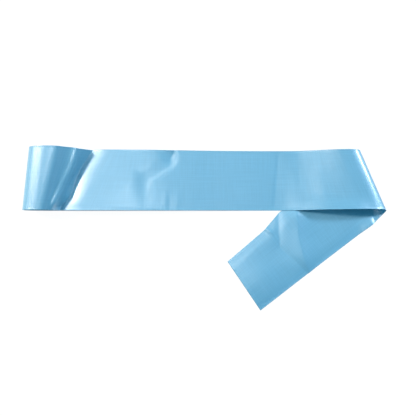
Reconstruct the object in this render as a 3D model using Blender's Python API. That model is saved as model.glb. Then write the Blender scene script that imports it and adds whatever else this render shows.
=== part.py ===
"""Satin sash laid out on a table: one ribbon of satin, folded into a long front, a loop and a tail.

The ribbon starts under the front, runs left, turns up round a soft loop, falls into a sharp valley, runs
right as the long front, turns down round a slanted fold and ends as the tail that lies on the table.

Each stretch is a thin wall bent along rulings, the straight lines from the ribbon's upper edge (far from
the viewer, +Y) to its lower edge. Sizes are in millimetres and become metres when a mesh is made.
"""

import math
from typing import NamedTuple

import bmesh
import bpy
import numpy as np

METRES = 0.001

# Driving sizes
WIDTH = 100.0  # across the ribbon, edge to edge
WALL = 1.0  # thickness of the wall that stands for the cloth
SEAM = 0.3  # gap between two stretches, and between two layers
UPPER_Y = 129.2  # the front's upper edge
LOWER_Y = UPPER_Y - WIDTH

TABLE_MID = WALL / 2  # middle of a layer on the table
STACK_MID = TABLE_MID + WALL + SEAM  # middle of a layer on that one

FOLD_RADIUS = 9.7  # half the height of the slanted fold at the right end
FOLD_REACH = 20.0  # how far it goes out past its line
FOLD_LEAN = math.radians(23.5)  # how far its line leans from square across the ribbon
FOLD_TOP = TABLE_MID + 2 * FOLD_RADIUS
FOLD_UPPER_X = 235.0  # where the fold's line crosses the upper edge
FOLD_LOWER_X = FOLD_UPPER_X + WIDTH * math.tan(FOLD_LEAN)
DRAW_IN = 1.9  # how far the lower edge is drawn in where the front is lifted to the fold

ALONG_STEP = 5.0  # longest stretch of wall between two sections
ACROSS_STEPS = 4
FOLD_STEPS = 18


class Ruling(NamedTuple):
    """A line across the ribbon, by the place and height of its two ends."""

    name: str
    upper_x: float
    upper_z: float
    lower_x: float
    lower_z: float


class TailRuling(NamedTuple):
    """A line across the tail, which lies on the table."""

    name: str
    upper_x: float
    upper_y: float
    lower_x: float
    lower_y: float


class Stretch(NamedTuple):
    """A named piece of the ribbon and its colour."""

    name: str
    colour: tuple[float, float, float]


# From the hidden end, left along the table, up round the loop and right along the front to the fold's line.
ROUTE = (
    Ruling("hidden_end", 119.0, TABLE_MID, 119.0, TABLE_MID),
    Ruling("under", -40.0, TABLE_MID, -40.0, TABLE_MID),
    Ruling("loop_start", -200.0, TABLE_MID, -205.0, TABLE_MID),
    Ruling("lift_off", -250.0, TABLE_MID, -262.0, TABLE_MID),
    Ruling("heel", -273.0, 4.5, -286.0, 4.0),
    Ruling("belly", -284.0, 19.0, -297.5, 15.5),
    Ruling("shoulder", -282.5, 31.0, -296.5, 24.5),
    Ruling("brow", -276.5, 40.0, -290.5, 32.5),
    Ruling("swell", -266.0, 45.2, -281.0, 36.6),
    Ruling("crest", -249.0, 48.3, -268.5, 38.6),
    Ruling("flank_top", -233.5, 45.9, -259.5, 36.0),
    Ruling("upper_flank", -221.5, 38.2, -254.0, 31.0),
    Ruling("terrace", -211.0, 32.6, -249.0, 27.4),
    Ruling("flank_foot", -195.0, 17.0, -243.0, 17.4),
    Ruling("valley", -186.0, 10.5, -238.5, 12.5),
    Ruling("valley_wall", -178.0, 13.1, -229.0, 15.7),
    Ruling("hump", -161.0, 15.8, -207.0, 18.4),
    Ruling("hump_end", -130.0, 14.8, -150.0, 16.4),
    Ruling("slope", -91.0, 13.6, -96.0, 13.8),
    Ruling("slope_foot", -25.0, 7.8, -25.0, 7.8),
    Ruling("rest", 15.0, 4.6, 15.0, 4.6),
    Ruling("rest_end", 69.0, 2.6, 69.0, 2.6),
    Ruling("lift_start", 123.0, STACK_MID, 124.0, STACK_MID),
    Ruling("lower_lift", 150.0, 2.6, 160.0, 6.2),
    Ruling("ramp", 182.0, 9.0, 204.0, 13.0),
    Ruling("ramp_top", 208.0, 16.3, 243.0, 17.8),
    Ruling("fold_start", 222.0, 19.0, 262.0, 19.4),
    Ruling("fold_line", FOLD_UPPER_X, FOLD_TOP, FOLD_LOWER_X, FOLD_TOP),
)

# From where the tail leaves the fold to its cut end.
TAIL = (
    TailRuling("comes_out", 125.2, 26.6, 194.0, -60.9),
    TailRuling("bend", 98.0, -5.0, 163.0, -84.9),
    TailRuling("cut_end", 37.9, -56.5, 93.2, -138.8),
)

UNDER = Stretch("sash_under", (0.11, 0.31, 0.48))
LOOP = Stretch("sash_left_loop", (0.26, 0.57, 0.77))
FRONT = Stretch("sash_front", (0.25, 0.56, 0.76))
FOLD = Stretch("sash_right_fold", (0.26, 0.58, 0.78))
TAIL_PIECE = Stretch("sash_tail", (0.17, 0.43, 0.66))


def slopes_through(places: np.ndarray, values: np.ndarray) -> np.ndarray:
    """Slope at each value of a smooth curve that never swings past its values."""
    steps = np.diff(places)[:, None]
    rises = np.diff(values, axis=0) / steps
    slopes = np.zeros_like(values)
    slopes[0], slopes[-1] = rises[0], rises[-1]
    before, after = rises[:-1], rises[1:]
    same_way = before * after > 0
    near, far = 2 * steps[1:] + steps[:-1], steps[1:] + 2 * steps[:-1]
    safe_before, safe_after = np.where(same_way, before, 1), np.where(same_way, after, 1)
    slopes[1:-1] = np.where(same_way, (near + far) / (near / safe_before + far / safe_after), 0)
    return slopes


def smooth_sections(rows: np.ndarray, corner: int, step: float) -> tuple[np.ndarray, list[int]]:
    """Sections on a curve through the rows, smooth but at one corner, and the index of each row among them."""
    leaps = np.diff(rows, axis=0)
    lengths = (np.linalg.norm(leaps[:, :3], axis=1) + np.linalg.norm(leaps[:, 3:], axis=1)) / 2
    places = np.concatenate([[0], np.cumsum(lengths)])
    before = slopes_through(places[: corner + 1], rows[: corner + 1])
    after = slopes_through(places[corner:], rows[corner:])
    starts, ends = np.concatenate([before[:-1], after]), np.concatenate([before, after[1:]])
    sections, row_at = [rows[0]], [0]
    for i, length in enumerate(lengths):
        count = max(2, math.ceil(length / step))
        for t in np.arange(1, count + 1) / count:
            start = (1 + 2 * t) * (1 - t) ** 2 * rows[i] + t * (1 - t) ** 2 * length * starts[i]
            end = t * t * (3 - 2 * t) * rows[i + 1] - t * t * (1 - t) * length * ends[i + 1]
            sections.append(start + end)
        row_at.append(len(sections) - 1)
    return np.array(sections), row_at


def route_rows() -> np.ndarray:
    """The route's rulings as rows of six coordinates: the upper end, then the lower end."""
    rows = []
    for r in ROUTE:
        lift = (r.lower_z - STACK_MID) / (FOLD_TOP - STACK_MID) if r.lower_x > 0 else 0
        drawn_in = DRAW_IN * max(0, lift)
        rows.append((r.upper_x, UPPER_Y, r.upper_z, r.lower_x, LOWER_Y + drawn_in, r.lower_z))
    return np.array(rows)


def fold_sections() -> np.ndarray:
    """Sections round the slanted fold, a half turn from its line down to the table."""
    square = np.array([math.cos(FOLD_LEAN), math.sin(FOLD_LEAN), 0])
    along = np.array([math.sin(FOLD_LEAN), -math.cos(FOLD_LEAN), 0])
    upper = np.array([FOLD_UPPER_X, UPPER_Y, TABLE_MID + FOLD_RADIUS])
    lower = np.array([FOLD_LOWER_X, LOWER_Y, TABLE_MID + FOLD_RADIUS])
    angles = np.linspace(0, math.pi, FOLD_STEPS + 1)
    outline = np.stack([FOLD_REACH * np.sin(angles), FOLD_RADIUS * np.cos(angles)], axis=1)
    walked = np.concatenate([[0], np.cumsum(np.linalg.norm(np.diff(outline, axis=0), axis=1))])
    sections = []
    for angle, (out, up), length in zip(angles, outline, walked):
        turned = out * square + np.array([0, 0, up])
        slid = length * math.tan(FOLD_LEAN) * along
        drawn_in = np.array([0, DRAW_IN * math.cos(angle / 2) ** 2, 0])
        sections.append(np.concatenate([upper + turned + slid, lower + turned + slid + drawn_in]))
    return np.array(sections)


def tail_sections(foot: np.ndarray) -> np.ndarray:
    """Sections of the tail, in straight runs from the fold's foot to the cut end."""
    ends = [foot] + [(t.upper_x, t.upper_y, TABLE_MID, t.lower_x, t.lower_y, TABLE_MID) for t in TAIL]
    sections = [foot]
    for start, end in zip(ends, ends[1:]):
        count = math.ceil(math.dist(start[:3], end[:3]) / (4 * ALONG_STEP))
        sections += [np.array(start) + (np.array(end) - start) * i / count for i in range(1, count + 1)]
    return np.array(sections)


def pulled_back(sections: np.ndarray, at_start: bool, at_end: bool) -> np.ndarray:
    """The sections with the named ends pulled back by half a seam, square to their rulings."""
    sections = sections.copy()
    for wanted, end, inner in ((at_start, 0, 1), (at_end, -1, -2)):
        if wanted:
            leap = sections[inner] - sections[end]
            ruling = sections[end, 3:] - sections[end, :3]
            ruling /= np.linalg.norm(ruling)
            square = [np.linalg.norm(part - part.dot(ruling) * ruling) for part in (leap[:3], leap[3:])]
            sections[end] += leap * SEAM / 2 / min(square)
    return sections


def wall_mesh(name: str, sections: np.ndarray) -> bpy.types.Mesh:
    """A closed wall round the surface that the sections span."""
    across = np.linspace(0, 1, ACROSS_STEPS + 1)[None, :, None]
    middle = sections[:, None, :3] * (1 - across) + sections[:, None, 3:] * across
    normals = np.cross(np.gradient(middle, axis=0), np.gradient(middle, axis=1))
    normals /= np.linalg.norm(normals, axis=2, keepdims=True)
    rows, columns = middle.shape[:2]
    mesh = bmesh.new()
    sides = []
    for side in (1, -1):
        points = (middle + side * normals * WALL / 2) * METRES
        sides.append([[mesh.verts.new(points[i, j]) for j in range(columns)] for i in range(rows)])
    outer, inner = sides
    for i in range(rows - 1):
        for j in range(columns - 1):
            mesh.faces.new((outer[i][j], outer[i + 1][j], outer[i + 1][j + 1], outer[i][j + 1]))
            mesh.faces.new((inner[i][j], inner[i][j + 1], inner[i + 1][j + 1], inner[i + 1][j]))
    rim = [(i, 0) for i in range(rows)] + [(rows - 1, j) for j in range(1, columns)]
    rim += [(i, columns - 1) for i in range(rows - 2, -1, -1)] + [(0, j) for j in range(columns - 2, 0, -1)]
    for (a, b), (c, d) in zip(rim, rim[1:] + rim[:1]):
        mesh.faces.new((outer[a][b], inner[a][b], inner[c][d], outer[c][d]))
    bmesh.ops.recalc_face_normals(mesh, faces=mesh.faces)
    bmesh.ops.triangulate(mesh, faces=mesh.faces)
    made = bpy.data.meshes.new(name)
    mesh.to_mesh(made)
    mesh.free()
    made.shade_smooth()
    made.set_sharp_from_angle(angle=math.radians(40))
    return made


def satin(stretch: Stretch) -> bpy.types.Material:
    """Pale blue satin."""
    material = bpy.data.materials.new(stretch.name)
    material.use_nodes = True
    shader = material.node_tree.nodes["Principled BSDF"]
    shader.inputs["Base Color"].default_value = (*stretch.colour, 1)
    shader.inputs["Roughness"].default_value = 0.35
    shader.inputs["Metallic"].default_value = 0.0
    return material


def make_stretch(stretch: Stretch, sections: np.ndarray, origin: bpy.types.Object) -> None:
    """Adds one stretch of the ribbon, placed by the sash's origin."""
    made = bpy.data.objects.new(stretch.name, wall_mesh(stretch.name, sections))
    made.data.materials.append(satin(stretch))
    made.parent = origin
    bpy.context.collection.objects.link(made)


def make_origin(stretches: list[np.ndarray]) -> bpy.types.Object:
    """An empty that sets the sash on the table with its middle over the world's origin.

    The lowest and highest sections bend level or upright, so half a wall covers every side of the box.
    """
    ends = np.concatenate(stretches).reshape(-1, 3)
    middle = (ends.min(axis=0) + ends.max(axis=0)) / 2
    origin = bpy.data.objects.new("sash_origin", None)
    origin.location = (-middle[0] * METRES, -middle[1] * METRES, 0)
    bpy.context.collection.objects.link(origin)
    return origin


def main() -> None:
    for old in list(bpy.data.objects):
        bpy.data.objects.remove(old)
    valley = [ruling.name for ruling in ROUTE].index("valley")
    route, row_at = smooth_sections(route_rows(), valley, ALONG_STEP)
    place = {ruling.name: index for ruling, index in zip(ROUTE, row_at)}
    under = route[: place["loop_start"] + 1]
    loop = route[place["loop_start"] : place["hump_end"] + 1]
    front = route[place["hump_end"] : place["fold_start"] + 1]
    round_fold = fold_sections()
    fold = np.concatenate([route[place["fold_start"] :], round_fold[1:]])
    tail = tail_sections(round_fold[-1])
    origin = make_origin([route, round_fold, tail])
    make_stretch(UNDER, pulled_back(under, False, True), origin)
    make_stretch(LOOP, pulled_back(loop, True, True), origin)
    make_stretch(FRONT, pulled_back(front, True, True), origin)
    make_stretch(FOLD, pulled_back(fold, True, True), origin)
    make_stretch(TAIL_PIECE, pulled_back(tail, True, False), origin)


main()
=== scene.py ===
"""Looks of the satin sash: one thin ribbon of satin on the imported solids' form, in a plain pale studio.

The ribbon starts under the front, runs left, turns up round a soft loop, falls into a sharp valley, runs
right as the long front, turns down round a slanted fold and ends as the tail. Its sizes are in millimetres,
measured on the table from the point under the camera, and become metres in the frame when the mesh is made.
"""

import logging
import math
from dataclasses import dataclass, field
from enum import Enum
from typing import Any, NamedTuple

import bpy
import numpy as np
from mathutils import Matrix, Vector


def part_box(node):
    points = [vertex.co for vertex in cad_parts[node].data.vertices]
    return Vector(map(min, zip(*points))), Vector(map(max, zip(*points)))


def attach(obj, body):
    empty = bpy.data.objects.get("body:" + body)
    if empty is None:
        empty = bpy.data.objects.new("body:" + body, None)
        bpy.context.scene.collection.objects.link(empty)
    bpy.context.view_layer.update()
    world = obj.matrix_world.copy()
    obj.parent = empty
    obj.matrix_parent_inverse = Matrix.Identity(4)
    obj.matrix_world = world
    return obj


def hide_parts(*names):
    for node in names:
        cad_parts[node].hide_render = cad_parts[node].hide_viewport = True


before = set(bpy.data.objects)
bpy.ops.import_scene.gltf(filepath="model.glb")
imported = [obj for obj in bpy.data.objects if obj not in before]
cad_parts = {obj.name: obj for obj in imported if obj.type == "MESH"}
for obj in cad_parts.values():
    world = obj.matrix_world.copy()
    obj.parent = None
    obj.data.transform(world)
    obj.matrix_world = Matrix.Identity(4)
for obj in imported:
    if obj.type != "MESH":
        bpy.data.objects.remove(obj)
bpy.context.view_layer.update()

LOG = logging.getLogger("sash")
METRES = 0.001
LEAST_NARROWING = 0.05
# A bell-shaped average leaves out what is further away than this many times its reach.
BELL_SPAN = 3.0
TINY = 1e-6
# A Mix node for colours has its two colours on these inputs, and their mix on this output.
MIX_COLOURS = (6, 7)
MIX_RESULT = 2


class Stretch(Enum):
    """The stretches of the one ribbon, in order, by the CAD node that each stands for."""

    UNDER = "sash_under"
    LOOP = "sash_left_loop"
    FRONT = "sash_front"
    FOLD = "sash_right_fold"
    TAIL = "sash_tail"


class Side(Enum):
    """The two sides of satin cloth, by material index."""

    FACE = 0
    REVERSE = 1


class Ruling(NamedTuple):
    """A line across the ribbon, by the place and height of its two ends."""

    name: str
    upper_x: float
    upper_z: float
    lower_x: float
    lower_z: float


class TailRuling(NamedTuple):
    """A line across the tail, which lies on the table."""

    name: str
    upper_x: float
    upper_y: float
    lower_x: float
    lower_y: float


class Bow(NamedTuple):
    """A swing of the valley's line, by its place and reach across the ribbon as parts of the width.

    Its amount is a part of the greatest sway, less than zero towards the loop.
    """

    place: float
    reach: float
    amount: float


@dataclass(frozen=True)
class RibbonSizes:
    """The ribbon's driving sizes: the solids' own down to draw_in, then those of the thin cloth."""

    width: float = 100.0
    cad_wall: float = 1.0
    seam: float = 0.3
    upper_y: float = 129.2
    fold_radius: float = 9.7
    fold_lean: float = math.radians(23.5)
    fold_reach: float = 20.0
    fold_upper_x: float = 235.0
    draw_in: float = 1.9
    cloth: float = 0.34
    selvedge: float = 0.56
    selvedge_width: float = 1.7
    bead_power: float = 0.25

    @property
    def lower_y(self) -> float:
        """The front's lower edge."""
        return self.upper_y - self.width

    @property
    def table_mid(self) -> float:
        """Middle of a solid layer on the table."""
        return self.cad_wall / 2

    @property
    def stack_mid(self) -> float:
        """Middle of a solid layer on that one."""
        return self.table_mid + self.cad_wall + self.seam

    @property
    def fold_top(self) -> float:
        """Middle of the cloth at the top of the slanted fold."""
        return self.table_mid + 2 * self.fold_radius

    @property
    def fold_lower_x(self) -> float:
        """Where the fold's line crosses the lower edge."""
        return self.fold_upper_x + self.width * math.tan(self.fold_lean)

    @property
    def sink(self) -> float:
        """How far the thin cloth sits below the middle of the thick solid, to lie on the table."""
        return (self.cad_wall - self.selvedge) / 2


SIZES = RibbonSizes()

ROUTE = (
    Ruling("hidden_end", 119.0, SIZES.table_mid, 119.0, SIZES.table_mid),
    Ruling("under", -40.0, SIZES.table_mid, -40.0, SIZES.table_mid),
    Ruling("loop_start", -200.0, SIZES.table_mid, -205.0, SIZES.table_mid),
    Ruling("lift_off", -250.0, SIZES.table_mid, -262.0, SIZES.table_mid),
    Ruling("heel", -273.0, 4.5, -286.0, 4.0),
    Ruling("belly", -284.0, 19.0, -297.5, 15.5),
    Ruling("shoulder", -282.5, 31.0, -296.5, 24.5),
    Ruling("brow", -276.5, 40.0, -290.5, 32.5),
    Ruling("swell", -266.0, 45.2, -281.0, 36.6),
    Ruling("crest", -249.0, 48.3, -268.5, 38.6),
    Ruling("flank_top", -233.5, 45.9, -259.5, 36.0),
    Ruling("upper_flank", -221.5, 38.2, -254.0, 31.0),
    Ruling("terrace", -211.0, 32.6, -249.0, 27.4),
    Ruling("flank_foot", -195.0, 17.0, -243.0, 17.4),
    Ruling("valley", -186.0, 10.5, -238.5, 12.5),
    Ruling("valley_wall", -178.0, 13.1, -229.0, 15.7),
    Ruling("hump", -161.0, 15.8, -207.0, 18.4),
    Ruling("hump_end", -130.0, 14.8, -150.0, 16.4),
    Ruling("slope", -91.0, 13.6, -96.0, 13.8),
    Ruling("slope_foot", -25.0, 7.8, -25.0, 7.8),
    Ruling("rest", 15.0, 4.6, 15.0, 4.6),
    Ruling("rest_end", 69.0, 2.6, 69.0, 2.6),
    Ruling("lift_start", 123.0, SIZES.stack_mid, 124.0, SIZES.stack_mid),
    Ruling("lower_lift", 150.0, 2.6, 160.0, 6.2),
    Ruling("ramp", 182.0, 9.0, 204.0, 13.0),
    Ruling("ramp_top", 208.0, 16.3, 243.0, 17.8),
    Ruling("fold_start", 222.0, 19.0, 262.0, 19.4),
    Ruling("fold_line", SIZES.fold_upper_x, SIZES.fold_top, SIZES.fold_lower_x, SIZES.fold_top),
)

VALLEY_BOWS = (
    Bow(0.76, 0.13, 0.55),
    Bow(0.33, 0.2, -0.7),
    Bow(0.92, 0.06, -0.6),
    Bow(1.0, 0.05, -0.2),
)

TAIL = (
    TailRuling("comes_out", 125.2, 26.6, 194.0, -60.9),
    TailRuling("bend", 98.0, -5.0, 163.0, -84.9),
    TailRuling("cut_end", 37.9, -56.5, 93.2, -138.8),
)


class Layer(Enum):
    """The runs of the ribbon that creases lie in."""

    HIDDEN = "hidden"
    LOOP = "loop"
    TOP = "top"
    TAIL = "tail"


class Profile(Enum):
    """How a crease is shaped across its line, by the power of its fall."""

    SOFT = 2.0
    PINCHED = 1.25


@dataclass(frozen=True)
class Crease:
    """A soft ridge or trough along a line.

    The line is seen from above. In the loop it is by the distance along the cloth from where it lifts off,
    and y. Height is how far the crease stands out of the cloth's upper or outer side, less than zero for a
    trough. It has its own reach on each side: left and right as one walks from the first point to the last.
    Where it fades in and out it loses height, and reach too if it narrows.
    """

    name: str
    layer: Layer
    line: tuple[tuple[float, float], ...]
    height: float
    left: float
    right: float
    fade_in: float = 0.25
    fade_out: float = 0.25
    profile: Profile = Profile.SOFT
    narrows: bool = False

    def lift(self, places: np.ndarray) -> np.ndarray:
        """How far the crease moves the cloth.

        Args:
            places: two coordinates of each point, in the last axis.

        Returns:
            The move of each point.
        """
        corners = np.array(self.line)
        spans = np.diff(corners, axis=0)
        lengths = np.hypot(spans[:, 0], spans[:, 1])
        walked = np.concatenate([[0], np.cumsum(lengths)])
        nearest = np.full(places.shape[:-1], np.inf)
        on_left = np.zeros(nearest.shape, bool)
        fraction = np.zeros(nearest.shape)
        for corner, span, length, before in zip(corners, spans, lengths, walked):
            away = places - corner
            step = np.clip(away @ span / length**2, 0, 1)
            gap = np.linalg.norm(away - step[..., None] * span, axis=-1)
            closer = gap < nearest
            nearest = np.where(closer, gap, nearest)
            on_left = np.where(closer, span[0] * away[..., 1] > span[1] * away[..., 0], on_left)
            fraction = np.where(closer, (before + step * length) / walked[-1], fraction)
        starts = np.clip(fraction / self.fade_in, 0, 1) if self.fade_in else np.ones(nearest.shape)
        ends = np.clip((1 - fraction) / self.fade_out, 0, 1) if self.fade_out else np.ones(nearest.shape)
        fades = eased(starts) * eased(ends)
        narrowing = np.maximum(fades, LEAST_NARROWING) if self.narrows else 1
        reach = np.where(on_left, self.left, self.right) * narrowing
        return self.height * np.exp(-((nearest / reach) ** self.profile.value)) * fades


CREASES = (
    Crease(
        "flank_ridge",
        Layer.TOP,
        ((-205.5, 131.0), (-215.5, 101.0), (-231.5, 66.0), (-250.5, 28.0)),
        height=2.4, left=4.0, right=3.5, fade_in=0.0, fade_out=0.15,
    ),
    Crease(
        "upper_ridge",
        Layer.TOP,
        ((-205.5, 131.0), (-215.5, 101.0), (-231.5, 66.0)),
        height=1.6, left=5.0, right=3.5, fade_in=0.0, fade_out=0.6,
    ),
    Crease(
        "flank_trough",
        Layer.TOP,
        ((-219.0, 131.0), (-226.0, 101.0), (-239.0, 66.0), (-250.0, 40.0)),
        height=-0.5, left=6.0, right=5.0, fade_in=0.0, fade_out=0.4,
    ),
    Crease(
        "band_swell",
        Layer.TOP,
        ((-172.0, 95.0), (-189.0, 64.0), (-203.0, 29.0)),
        height=0.35, left=8.0, right=13.0, fade_in=0.4, fade_out=0.0,
    ),
    Crease(
        "front_wave",
        Layer.TOP,
        ((-140.0, 55.0), (-127.0, 77.0), (-113.0, 98.0)),
        height=0.6, left=9.0, right=12.0, fade_in=0.4, fade_out=0.4,
    ),
    Crease(
        "short_fold",
        Layer.TOP,
        ((-49.0, 131.0), (-53.0, 121.0), (-63.0, 110.0)),
        height=-1.3, left=2.6, right=3.2, fade_in=0.0, fade_out=0.5,
    ),
    Crease(
        "short_ridge",
        Layer.TOP,
        ((-52.0, 127.0), (-57.0, 118.0), (-63.0, 112.0)),
        height=0.25, left=4.0, right=2.5, fade_in=0.0, fade_out=0.5,
    ),
    Crease(
        "long_fold",
        Layer.TOP,
        (
            (-45.0, 125.0), (-60.0, 104.0), (-80.0, 91.5), (-94.0, 84.0), (-98.0, 72.0), (-100.0, 56.0),
            (-102.0, 30.0),
        ),
        height=-1.9, left=7.2, right=15.0, fade_in=0.15, fade_out=0.35,
    ),
    Crease(
        "dent",
        Layer.TOP,
        ((-55.0, 129.0), (-57.0, 118.0), (-67.0, 104.0)),
        height=-1.2, left=9.0, right=16.0, fade_in=0.2, fade_out=0.6,
    ),
    Crease(
        "low_ridge",
        Layer.TOP,
        ((-64.0, 72.0), (-66.0, 50.0), (-68.0, 29.0)),
        height=0.2, left=4.0, right=4.0, fade_in=0.6, fade_out=0.4,
    ),
    Crease(
        "low_dent",
        Layer.TOP,
        ((-57.0, 70.0), (-58.0, 50.0), (-60.0, 29.0)),
        height=-0.2, left=3.5, right=3.5, fade_in=0.6, fade_out=0.0,
    ),
    Crease(
        "low_wave",
        Layer.TOP,
        ((-43.0, 68.0), (-46.0, 50.0), (-47.0, 29.0)),
        height=0.25, left=6.0, right=4.5, fade_in=0.6, fade_out=0.0,
    ),
    Crease(
        "line_before_ramp",
        Layer.TOP,
        ((123.0, 129.0), (119.0, 80.0), (115.0, 30.0)),
        height=-0.6, left=7.0, right=3.0, fade_in=0.1, fade_out=0.1,
    ),
    Crease(
        "ramp_wave",
        Layer.TOP,
        ((190.0, 129.0), (194.0, 70.0), (205.0, 30.0)),
        height=0.5, left=14.0, right=12.0, fade_in=0.2, fade_out=0.2,
    ),
    Crease(
        "lifted_edge",
        Layer.TOP,
        ((140.0, 28.0), (200.0, 28.0), (288.0, 28.0)),
        height=6.5, left=15.0, right=9.0, fade_in=0.5, fade_out=0.36,
    ),
    Crease(
        "left_lip",
        Layer.TOP,
        ((-250.0, 29.5), (-60.0, 29.5)),
        height=0.45, left=2.0, right=1.5, fade_in=0.1, fade_out=0.3,
    ),
    Crease(
        "right_lip",
        Layer.TOP,
        ((122.0, 29.5), (289.0, 31.0)),
        height=0.6, left=2.0, right=1.5, fade_in=0.15, fade_out=0.05,
    ),
    Crease(
        "loop_press",
        Layer.LOOP,
        ((6.0, 131.0), (9.0, 90.0), (4.0, 29.0)),
        height=-1.2, left=5.0, right=7.0, fade_in=0.1, fade_out=0.2,
    ),
    Crease(
        "loop_fold",
        Layer.LOOP,
        ((20.0, 118.0), (27.0, 84.0), (22.0, 48.0)),
        height=-1.0, left=3.0, right=6.0, fade_in=0.4, fade_out=0.4,
    ),
    Crease(
        "loop_ridge",
        Layer.LOOP,
        ((36.0, 131.0), (31.0, 96.0)),
        height=0.9, left=4.0, right=5.0, fade_in=0.1, fade_out=0.6,
    ),
    Crease(
        "tail_ridge",
        Layer.TAIL,
        ((149.0, 50.0), (154.0, 20.0), (157.0, -18.0), (164.0, -45.0), (186.0, -98.0)),
        height=5.6, left=16.0, right=32.0, fade_in=0.22, fade_out=0.4,
        profile=Profile.PINCHED, narrows=True,
    ),
    Crease(
        "tail_trough",
        Layer.TAIL,
        ((124.0, 40.0), (123.0, -5.0), (126.0, -32.0), (173.0, -76.0)),
        height=-1.35, left=7.0, right=6.0, fade_in=0.0, fade_out=0.0, profile=Profile.PINCHED,
    ),
    Crease(
        "tail_edge",
        Layer.TAIL,
        ((151.0, 42.0), (131.0, 18.0), (104.0, -13.0), (44.0, -64.0)),
        height=1.6, left=22.0, right=12.0, fade_in=0.3, fade_out=0.0,
    ),
    Crease(
        "tail_swell",
        Layer.TAIL,
        ((140.0, -52.0), (52.0, -112.0)),
        height=4.5, left=34.0, right=36.0, fade_in=0.6, fade_out=0.0,
    ),
    Crease(
        "edge_pinch",
        Layer.TAIL,
        ((98.0, 2.0), (108.0, -6.0), (118.0, -14.0)),
        height=1.6, left=3.0, right=3.0, fade_in=0.0, fade_out=0.6,
    ),
    Crease(
        "fold_curl",
        Layer.TAIL,
        ((290.0, 13.0), (276.0, 2.0), (256.0, -10.0)),
        height=4.0, left=8.0, right=11.0, fade_in=0.3, fade_out=0.6,
    ),
)


def eased(part: np.ndarray) -> np.ndarray:
    """A part from 0 to 1 with a soft start and a soft end."""
    return part**2 * (3 - 2 * part)


def lengths_along(points: np.ndarray) -> np.ndarray:
    """Distance walked along a line of points, at each of them."""
    return np.concatenate([[0], np.cumsum(np.linalg.norm(np.diff(points, axis=0), axis=1))])


def facing(points: np.ndarray) -> np.ndarray:
    """Unit normals of a grid of points, out of the side that is uppermost on the front."""
    normals = -np.cross(np.gradient(points, axis=0), np.gradient(points, axis=1))
    return normals / np.linalg.norm(normals, axis=2, keepdims=True)


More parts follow.
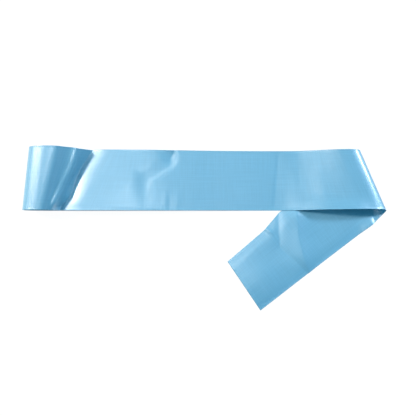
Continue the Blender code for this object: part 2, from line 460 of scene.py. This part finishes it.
@dataclass
class RibbonForm:
    """The surface in the middle of the cloth, as sections from one edge to the other.

    Steps are the longest gaps between sections, in each stretch. Roundings are how far a section is averaged
    with its neighbours, less near the valley. The crown is the tail's own slight arch across its width.
    """

    sizes: RibbonSizes = SIZES
    steps: dict[Stretch, float] = field(
        default_factory=lambda: {
            Stretch.UNDER: 6.0,
            Stretch.LOOP: 1.3,
            Stretch.FRONT: 1.7,
            Stretch.FOLD: 0.9,
            Stretch.TAIL: 1.8,
        }
    )
    across_steps: int = 46
    selvedge_steps: int = 3
    rounding: float = 2.4
    valley_rounding: float = 0.8
    valley_opening: float = 3.0
    valley_sway: float = 5.0
    sway_towards_loop: float = 8.0
    sway_towards_fold: float = 26.0
    sway_lowest: float = 5.0
    tail_crown: float = 1.4
    crown_reach: float = 11.0
    crown_run: float = 40.0

    def slopes_through(self, places: np.ndarray, values: np.ndarray) -> np.ndarray:
        """Slope at each value of a smooth curve that never swings past its values.

        Args:
            places: distances along the curve.
            values: a row of coordinates at each place.

        Returns:
            A row of slopes at each place.
        """
        steps = np.diff(places)[:, None]
        rises = np.diff(values, axis=0) / steps
        slopes = np.zeros_like(values)
        slopes[0], slopes[-1] = rises[0], rises[-1]
        before, after = rises[:-1], rises[1:]
        same_way = before * after > 0
        near, far = 2 * steps[1:] + steps[:-1], steps[1:] + 2 * steps[:-1]
        safe_before, safe_after = np.where(same_way, before, 1), np.where(same_way, after, 1)
        slopes[1:-1] = np.where(same_way, (near + far) / (near / safe_before + far / safe_after), 0)
        return slopes

    def stretch_of(self, name: str) -> Stretch:
        """The stretch that the part of the route after a ruling belongs to.

        Args:
            name: the ruling's name.

        Returns:
            Its stretch.
        """
        names = [ruling.name for ruling in ROUTE]
        at = names.index(name)
        if at < names.index("loop_start"):
            return Stretch.UNDER
        if at < names.index("hump_end"):
            return Stretch.LOOP
        return Stretch.FRONT if at < names.index("fold_start") else Stretch.FOLD

    def route_rows(self) -> np.ndarray:
        """The route's rulings, with the lower edge drawn in where the front lifts.

        Returns:
            Rows of six coordinates: the upper end, then the lower end.
        """
        s, rows = self.sizes, []
        for r in ROUTE:
            lift = (r.lower_z - s.stack_mid) / (s.fold_top - s.stack_mid) if r.lower_x > 0 else 0
            drawn_in = s.draw_in * max(0, lift)
            rows.append((r.upper_x, s.upper_y, r.upper_z, r.lower_x, s.lower_y + drawn_in, r.lower_z))
        return np.array(rows)

    def route_sections(self) -> tuple[list[np.ndarray], list[Layer]]:
        """Puts sections on a smooth curve through the route's rulings, sharply bent at the valley.

        Returns:
            The sections, and the layer of each.
        """
        rows = self.route_rows()
        leaps = np.diff(rows, axis=0)
        lengths = (np.linalg.norm(leaps[:, :3], axis=1) + np.linalg.norm(leaps[:, 3:], axis=1)) / 2
        places = np.concatenate([[0], np.cumsum(lengths)])
        names = [ruling.name for ruling in ROUTE]
        valley = names.index("valley")
        before = self.slopes_through(places[: valley + 1], rows[: valley + 1])
        after = self.slopes_through(places[valley:], rows[valley:])
        starts, ends = np.concatenate([before[:-1], after]), np.concatenate([before, after[1:]])
        sections, layers = [rows[0]], [Layer.HIDDEN]
        for i, length in enumerate(lengths):
            count = max(2, math.ceil(length / self.steps[self.stretch_of(ROUTE[i].name)]))
            layer = Layer.HIDDEN if i < names.index("lift_off") else Layer.LOOP
            layer = Layer.TOP if i >= names.index("crest") else layer
            for t in np.arange(1, count + 1) / count:
                start = (1 + 2 * t) * (1 - t) ** 2 * rows[i] + t * (1 - t) ** 2 * length * starts[i]
                end = t * t * (3 - 2 * t) * rows[i + 1] - t * t * (1 - t) * length * ends[i + 1]
                sections.append(start + end)
                layers.append(layer)
        return sections, layers

    def fold_sections(self) -> list[np.ndarray]:
        """Takes the ribbon round the slanted fold, a half turn from its line down to the table.

        Returns:
            The fold's sections.
        """
        s = self.sizes
        square = np.array([math.cos(s.fold_lean), math.sin(s.fold_lean), 0])
        along = np.array([math.sin(s.fold_lean), -math.cos(s.fold_lean), 0])
        upper = np.array([s.fold_upper_x, s.upper_y, s.table_mid + s.fold_radius])
        lower = np.array([s.fold_lower_x, s.lower_y, s.table_mid + s.fold_radius])
        count = math.ceil(math.pi * (s.fold_radius + s.fold_reach) / 2 / self.steps[Stretch.FOLD])
        angles = np.linspace(0, math.pi, count + 1)
        outline = np.stack([s.fold_reach * np.sin(angles), s.fold_radius * np.cos(angles)], axis=1)
        sections = []
        for angle, (out, up), walked in zip(angles[1:], outline[1:], lengths_along(outline)[1:]):
            moved = out * square + walked * math.tan(s.fold_lean) * along + np.array([0, 0, up])
            drawn_in = np.array([0, s.draw_in * math.cos(angle / 2) ** 2, 0])
            sections.append(np.concatenate([upper + moved, lower + moved + drawn_in]))
        return sections

    def tail_sections(self, foot: np.ndarray) -> list[np.ndarray]:
        """Lays the tail in straight runs from the fold's foot to the cut end.

        Args:
            foot: the last section of the fold.

        Returns:
            The tail's sections.
        """
        z = self.sizes.table_mid
        ends = [foot] + [np.array((t.upper_x, t.upper_y, z, t.lower_x, t.lower_y, z)) for t in TAIL]
        sections = []
        for start, end in zip(ends, ends[1:]):
            count = math.ceil(math.dist(start[:3], end[:3]) / self.steps[Stretch.TAIL])
            sections += [start + (end - start) * i / count for i in range(1, count + 1)]
        return sections

    def rounded(self, sections: np.ndarray) -> np.ndarray:
        """The sections with their turns made even, as cloth bends.

        Args:
            sections: rows of six coordinates.

        Returns:
            The same rows, each averaged with its neighbours within reach along the ribbon.
        """
        middle = (sections[:, :3] + sections[:, 3:]) / 2
        s = lengths_along(middle)
        from_valley = np.abs(s - s[self.valley_at(sections)])
        steps = np.gradient(s)
        made = sections.copy()
        for i in range(1, len(sections) - 1):
            wide = self.valley_rounding + from_valley[i] / self.valley_opening
            reach = min(self.rounding, wide, s[i] / BELL_SPAN, (s[-1] - s[i]) / BELL_SPAN)
            near = np.abs(s - s[i]) < BELL_SPAN * reach + TINY
            weights = np.exp(-(((s[near] - s[i]) / (reach + TINY)) ** 2)) * steps[near]
            made[i] = weights @ sections[near] / weights.sum()
        return made

    def valley_at(self, sections: np.ndarray) -> int:
        """Index of the section nearest to the valley's ruling."""
        valley = next(row for ruling, row in zip(ROUTE, self.route_rows()) if ruling.name == "valley")
        return int(np.argmin(np.linalg.norm(sections - valley, axis=1)))

    def across(self) -> np.ndarray:
        """Places across the ribbon, from 0 at the upper edge to 1, closer together in the selvedges."""
        edge = self.sizes.selvedge_width / self.sizes.width
        bead = edge * np.arange(self.selvedge_steps) / self.selvedge_steps
        return np.concatenate([bead, np.linspace(edge, 1 - edge, self.across_steps + 1), 1 - bead[::-1]])

    def swayed(self, points: np.ndarray, valley: int) -> np.ndarray:
        """Bends the valley's line to and fro, with the cloth beside it and none of the hidden layer.

        Args:
            points: the plain surface, by section and then across.
            valley: index of the valley's section.

        Returns:
            The surface with its bent valley.
        """
        v = self.across()
        bend = sum(bow.amount * np.exp(-(((v - bow.place) / bow.reach) ** 2)) for bow in VALLEY_BOWS)
        away = points[:, :, 0] - points[valley, :, 0]
        reach = np.where(away > 0, self.sway_towards_fold, self.sway_towards_loop)
        sway = self.valley_sway * bend * np.exp(-((away / reach) ** 2))
        made = points.copy()
        made[:, :, 0] += sway * (points[:, :, 2] > self.sway_lowest)
        return made

    def relieved(self, points: np.ndarray, layers: list[Layer]) -> np.ndarray:
        """The points with every crease and the tail's crown added.

        Args:
            points: the plain surface, by section and then across.
            layers: the layer of each section.

        Returns:
            The surface with its creases.
        """
        outward = facing(points)
        lift = np.zeros(points.shape[:2])
        in_layer = {layer: np.array([own is layer for own in layers]) for layer in Layer}
        walked = lengths_along(points[:, points.shape[1] // 2])
        walked -= walked[in_layer[Layer.LOOP]][0]
        for crease in CREASES:
            rows = in_layer[crease.layer]
            places = points[rows][..., :2].copy()
            if crease.layer is Layer.LOOP:
                places[..., 0] = walked[rows][:, None]
            lift[rows] += crease.lift(places)
        tail = in_layer[Layer.TAIL]
        outward[tail] *= -1
        from_edge = self.sizes.width * np.minimum(self.across(), 1 - self.across())
        crown = self.tail_crown * (1 - np.exp(-((from_edge / self.crown_reach) ** 2)))
        from_fold = walked[tail] - walked[tail][0]
        lift[tail] += np.clip(from_fold / self.crown_run, 0, 1)[:, None] * crown
        moved = points + outward * lift[..., None]
        low = self.sizes.table_mid
        moved[..., 2] = np.maximum(moved[..., 2], np.minimum(points[..., 2], low))
        return moved

    def build(self) -> tuple[np.ndarray, list[Layer]]:
        """Works out the whole surface.

        Returns:
            Its points, by section and then across, and the layer of each section.
        """
        sections, layers = self.route_sections()
        fold = self.fold_sections()
        tail = self.tail_sections(fold[-1])
        layers += [Layer.TOP] * len(fold) + [Layer.TAIL] * len(tail)
        ends = self.rounded(np.array(sections + fold + tail))
        across = self.across()[None, :, None]
        points = ends[:, None, :3] * (1 - across) + ends[:, None, 3:] * across
        return self.relieved(self.swayed(points, self.valley_at(ends)), layers), layers


class Socket:
    """A shader value that Python expressions can work with. Each operation adds a Math node."""

    def __init__(self, graph: "Graph", socket: bpy.types.NodeSocket) -> None:
        """Wraps one output socket of a graph."""
        self.graph, self.socket = graph, socket

    def _with(self, operation: str, *values: Any) -> "Socket":
        """The result of a Math node on these values."""
        node = self.graph.node("ShaderNodeMath", {"operation": operation}, dict(enumerate(values)))
        return Socket(self.graph, node.outputs[0])

    def __add__(self, other: Any) -> "Socket":
        """self + other."""
        return self._with("ADD", self, other)

    __radd__ = __add__

    def __mul__(self, other: Any) -> "Socket":
        """self * other."""
        return self._with("MULTIPLY", self, other)

    __rmul__ = __mul__

    def __sub__(self, other: Any) -> "Socket":
        """self - other."""
        return self._with("SUBTRACT", self, other)

    def __rsub__(self, other: Any) -> "Socket":
        """other - self."""
        return self._with("SUBTRACT", other, self)


class Graph:
    """A material's node graph."""

    def __init__(self, name: str) -> None:
        """Makes a material with a Principled shader."""
        self.material = bpy.data.materials.new(name)
        self.material.use_nodes = True
        self.tree = self.material.node_tree
        self.shader = self.tree.nodes["Principled BSDF"]

    def node(self, kind: str, settings: dict[str, Any], inputs: dict[Any, Any]) -> bpy.types.Node:
        """Adds a node.

        Args:
            kind: the node's type.
            settings: its own settings, such as a Math node's operation.
            inputs: values or links by socket name or number.

        Returns:
            The node.
        """
        made = self.tree.nodes.new(kind)
        for key, value in settings.items():
            setattr(made, key, value)
        for key, value in inputs.items():
            self.feed(made.inputs[key], value)
        return made

    def feed(self, socket: bpy.types.NodeSocket, value: Any) -> None:
        """Links a value into a node's socket, or sets it.

        Args:
            socket: the node's own input.
            value: a Socket, or a constant.
        """
        if isinstance(value, Socket):
            self.tree.links.new(value.socket, socket)
        else:
            socket.default_value = value

    def out(self, node: bpy.types.Node, name: Any = 0) -> Socket:
        """A node's output, ready for expressions."""
        return Socket(self, node.outputs[name])


@dataclass(frozen=True)
class SatinFinish:
    """One side of the satin.

    Floats are the long loose threads that make satin shine. They run along the ribbon on its face. A grain is
    how far one streak of threads runs along the ribbon and across it, in millimetres.
    """

    name: str
    slot: str
    colour: tuple[float, float, float]
    roughness: float
    ior: float = 1.5
    relief: float = 0.2
    float_grain: tuple[float, float] = (3.0, 0.5)
    warp_grain: tuple[float, float] = (70.0, 1.7)
    weft_grain: tuple[float, float] = (1.9, 45.0)
    thread_detail: float = 1.0
    coat: float = 0.52
    coat_roughness: float = 0.22
    slub: float = 0.08
    slub_contrast: float = 1.2
    roughness_spread: float = 0.08
    bump_filter: float = 0.05

    def threads(self, g: Graph, grain: tuple[float, float]) -> Socket:
        """Noise drawn out along or across the cloth.

        Args:
            g: the material's graph.
            grain: its grain along the ribbon and across it.

        Returns:
            A value around 0.5.
        """
        cloth = g.out(g.node("ShaderNodeUVMap", {"uv_map": "cloth"}, {}))
        per_metre = (1 / (grain[0] * METRES), 1 / (grain[1] * METRES), 1)
        drawn = g.out(g.node("ShaderNodeVectorMath", {"operation": "MULTIPLY"}, {0: cloth, 1: per_metre}))
        streaks = {"Vector": drawn, "Scale": 1.0, "Detail": self.thread_detail}
        return g.out(g.node("ShaderNodeTexNoise", {}, streaks))

    def build(self) -> bpy.types.Material:
        """Makes the material from the cloth's own coordinates: metres along it and across it.

        Returns:
            The material.
        """
        g = Graph(self.name)
        warp = self.threads(g, self.warp_grain)
        weft = self.threads(g, self.weft_grain)
        tint = g.node(
            "ShaderNodeMix",
            {"data_type": "RGBA"},
            {
                "Factor": (warp + weft - 1.0) * self.slub_contrast + 0.5,
                MIX_COLOURS[0]: (*[c * (1 - self.slub) for c in self.colour], 1),
                MIX_COLOURS[1]: (*[min(1, c * (1 + self.slub)) for c in self.colour], 1),
            },
        )
        g.feed(g.shader.inputs["Base Color"], g.out(tint, MIX_RESULT))
        g.feed(g.shader.inputs["Roughness"], (warp - 0.5) * self.roughness_spread + self.roughness)
        weave = {"Strength": 1.0, "Distance": self.relief * METRES, "Filter Width": self.bump_filter}
        weave["Height"] = self.threads(g, self.float_grain)
        bump = g.node("ShaderNodeBump", {}, weave)
        g.feed(g.shader.inputs["Normal"], g.out(bump))
        g.shader.inputs["IOR"].default_value = self.ior
        g.shader.inputs["Specular IOR Level"].default_value = 1.0
        g.shader.inputs["Coat Weight"].default_value = self.coat
        g.shader.inputs["Coat Roughness"].default_value = self.coat_roughness
        return g.material


FACE = SatinFinish("satin_face", "satin_face", colour=(0.159, 0.357, 0.462), roughness=0.40)
REVERSE = SatinFinish("satin_reverse", "satin_reverse", colour=(0.159, 0.36, 0.468), roughness=0.42)


def own_origin() -> tuple[float, float]:
    """Where the ribbon's own origin, the point under the camera, is in the frame."""
    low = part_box(Stretch.TAIL.value)[0]
    return low[0] - TAIL[-1].upper_x * METRES, low[1] - TAIL[-1].lower_y * METRES


@dataclass
class SatinRibbon:
    """The one ribbon of satin, a closed thin shell with a selvedge on both long edges."""

    form: RibbonForm = field(default_factory=RibbonForm)
    sizes: RibbonSizes = SIZES

    def into_frame(self, points: np.ndarray) -> np.ndarray:
        """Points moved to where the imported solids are, in metres."""
        x, y = own_origin()
        return points * METRES + np.array((x, y, -self.sizes.sink * METRES))

    def thickness(self, across: np.ndarray) -> np.ndarray:
        """The cloth's thickness, which swells to a bead in the selvedges.

        Args:
            across: distances across the ribbon, in millimetres.

        Returns:
            The thickness at each, in millimetres.
        """
        edge = np.minimum(across, across.max() - across)
        bead = np.clip(1 - edge / self.sizes.selvedge_width, 0, 1) ** self.sizes.bead_power
        return self.sizes.cloth + (self.sizes.selvedge - self.sizes.cloth) * bead

    def build(self) -> bpy.types.Object:
        """Makes the ribbon's mesh and dresses it.

        Returns:
            The ribbon.
        """
        middle = self.into_frame(self.form.build()[0])
        normals = facing(middle)
        rows, columns = middle.shape[:2]
        along = lengths_along(middle[:, columns // 2])
        across = np.linalg.norm(middle[0] - middle[0, 0], axis=1)
        half = self.thickness(across / METRES)[None, :, None] * METRES / 2
        points = np.concatenate([middle + normals * half, middle - normals * half]).reshape(-1, 3)
        faces, sides = self.faces(rows, columns)
        mesh = bpy.data.meshes.new("sash_ribbon")
        mesh.from_pydata(points.tolist(), [], faces.tolist())
        mesh.polygons.foreach_set("material_index", sides)
        flat = np.stack(np.broadcast_arrays(along[:, None], across[None, :]), axis=-1).reshape(-1, 2)
        uv = mesh.uv_layers.new(name="cloth")
        uv.data.foreach_set("uv", np.concatenate([flat, flat])[faces.reshape(-1)].reshape(-1))
        mesh.shade_smooth()
        mesh.validate()
        ribbon = bpy.data.objects.new("sash_ribbon", mesh)
        bpy.context.scene.collection.objects.link(ribbon)
        ribbon.data.materials.append(FACE.build())
        ribbon.data.materials.append(REVERSE.build())
        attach(ribbon, "root")
        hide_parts(*(stretch.value for stretch in Stretch))
        LOG.info("ribbon: %d sections, %.3f m long", rows, along[-1])
        return ribbon

    def faces(self, rows: int, columns: int) -> tuple[np.ndarray, np.ndarray]:
        """Joins the points of both sides into a closed shell.

        Args:
            rows: how many sections a side has.
            columns: how many points a section has.

        Returns:
            Quads of both sides and of the rim, and the side that each belongs to.
        """
        index = np.arange(rows * columns).reshape(rows, columns)
        a, b, c, d = index[:-1, :-1], index[1:, :-1], index[1:, 1:], index[:-1, 1:]
        top = np.stack([a, d, c, b], axis=-1).reshape(-1, 4)
        under = np.stack([a, b, c, d], axis=-1).reshape(-1, 4) + rows * columns
        rim = np.concatenate([index[:, 0], index[-1, 1:], index[-2::-1, -1], index[0, -2:0:-1]])
        after = np.roll(rim, -1)
        rim_faces = np.stack([rim, after, after + rows * columns, rim + rows * columns], axis=-1)
        sides = [Side.FACE.value] * len(top) + [Side.REVERSE.value] * len(under)
        sides += [Side.FACE.value] * len(rim)
        return np.concatenate([top, under, rim_faces]), np.array(sides, np.int32)


@dataclass(frozen=True)
class SoftLight:
    """A rectangular lamp that points at the sash.

    Bearing is its direction on the table, in degrees from +X towards +Y, and elevation its height angle.
    Wide is the side that lies level. One that is only for gloss shows in the shine and lights nothing else.
    """

    name: str
    bearing: float
    elevation: float
    distance: float
    wide: float
    tall: float
    power: float
    colour: tuple[float, float, float] = (1.0, 1.0, 1.0)
    only_gloss: bool = False

    def build(self) -> None:
        """Adds the lamp, turned to the middle of the sash."""
        lamp = bpy.data.lights.new(self.name, "AREA")
        lamp.shape = "RECTANGLE"
        lamp.size, lamp.size_y = self.wide, self.tall
        lamp.energy = self.power
        lamp.color = self.colour
        placed = bpy.data.objects.new(self.name, lamp)
        turn, rise = math.radians(self.bearing), math.radians(self.elevation)
        back = Vector((math.cos(turn) * math.cos(rise), math.sin(turn) * math.cos(rise), math.sin(rise)))
        placed.location = back * self.distance
        placed.rotation_euler = back.to_track_quat("Z", "Y").to_euler()
        placed.visible_diffuse = not self.only_gloss
        bpy.context.scene.collection.objects.link(placed)


@dataclass
class Studio:
    """The pale floor, the lamps and the overhead camera."""

    camera_height: float = 0.65
    view_width: float = 0.7014
    shift: tuple[float, float] = (0.0072, 0.0481)
    floor_size: float = 6.0
    floor_shade: float = 0.06
    floor_glow: float = 0.97
    air_colour: tuple[float, float, float] = (0.1, 0.8, 1.25)
    bright_side: tuple[float, float, float] = (-0.75, 0.2, 0.63)
    ambient: tuple[float, float] = (0.34, 0.44)
    lamps: tuple[SoftLight, ...] = (
        SoftLight(
            "key",
            bearing=159.0, elevation=34.0, distance=2.25,
            wide=0.3, tall=0.3, power=49.0, colour=(1.0, 0.93, 0.9),
        ),
        SoftLight(
            "soft_box",
            bearing=132.0, elevation=50.0, distance=2.0,
            wide=1.0, tall=1.0, power=13.0, colour=(1.0, 0.95, 0.93),
        ),
        SoftLight(
            "top_shine",
            bearing=172.0, elevation=82.5, distance=2.0,
            wide=0.4, tall=0.4, power=6.5, only_gloss=True,
        ),
        SoftLight(
            "right_fill",
            bearing=25.0, elevation=25.0, distance=2.2,
            wide=0.28, tall=0.24, power=34.0, colour=(0.72, 0.9, 1.12),
        ),
    )

    def build(self) -> None:
        """Adds everything to the scene."""
        self.add_floor()
        self.add_camera()
        for lamp in self.lamps:
            lamp.build()
        self.add_surroundings()

    def add_floor(self) -> None:
        """A plain pale floor just under the sash."""
        half = self.floor_size / 2
        mesh = bpy.data.meshes.new("floor")
        corners = [(-half, -half, 0), (half, -half, 0), (half, half, 0), (-half, half, 0)]
        mesh.from_pydata(corners, [], [(0, 1, 2, 3)])
        floor = bpy.data.objects.new("floor", mesh)
        g = Graph("floor")
        g.shader.inputs["Base Color"].default_value = (*[self.floor_shade] * 3, 1)
        g.shader.inputs["Roughness"].default_value = 0.9
        g.shader.inputs["Specular IOR Level"].default_value = 0.1
        g.shader.inputs["Emission Color"].default_value = (1, 1, 1, 1)
        g.shader.inputs["Emission Strength"].default_value = self.floor_glow
        mesh.materials.append(g.material)
        bpy.context.scene.collection.objects.link(floor)

    def add_camera(self) -> None:
        """A camera straight above, with the frame moved to hold the whole sash."""
        camera = bpy.data.cameras.new("camera")
        camera.sensor_width = 36.0
        camera.lens = camera.sensor_width * self.camera_height / self.view_width
        camera.shift_x, camera.shift_y = self.shift
        placed = bpy.data.objects.new("camera", camera)
        placed.location = (*own_origin(), self.camera_height)
        bpy.context.scene.collection.objects.link(placed)
        bpy.context.scene.camera = placed

    def add_surroundings(self) -> None:
        """Soft pale blue surroundings, brighter towards the side that the light comes from."""
        world = bpy.data.worlds.new("surroundings")
        world.use_nodes = True
        tree = world.node_tree
        way = tree.nodes.new("ShaderNodeTexCoord")
        towards = tree.nodes.new("ShaderNodeVectorMath")
        towards.operation = "DOT_PRODUCT"
        towards.inputs[1].default_value = self.bright_side
        level = tree.nodes.new("ShaderNodeMapRange")
        level.interpolation_type = "SMOOTHSTEP"
        level.inputs["To Min"].default_value, level.inputs["To Max"].default_value = self.ambient
        tree.links.new(way.outputs["Generated"], towards.inputs[0])
        tree.links.new(towards.outputs["Value"], level.inputs["Value"])
        tree.links.new(level.outputs["Result"], tree.nodes["Background"].inputs["Strength"])
        tree.nodes["Background"].inputs["Color"].default_value = (*self.air_colour, 1)
        bpy.context.scene.world = world
        bpy.context.scene.view_settings.view_transform = "Standard"


def main() -> None:
    """Builds the ribbon and its studio."""
    logging.basicConfig(level=logging.INFO)
    SatinRibbon().build()
    Studio().build()


if __name__ == "__main__":
    main()
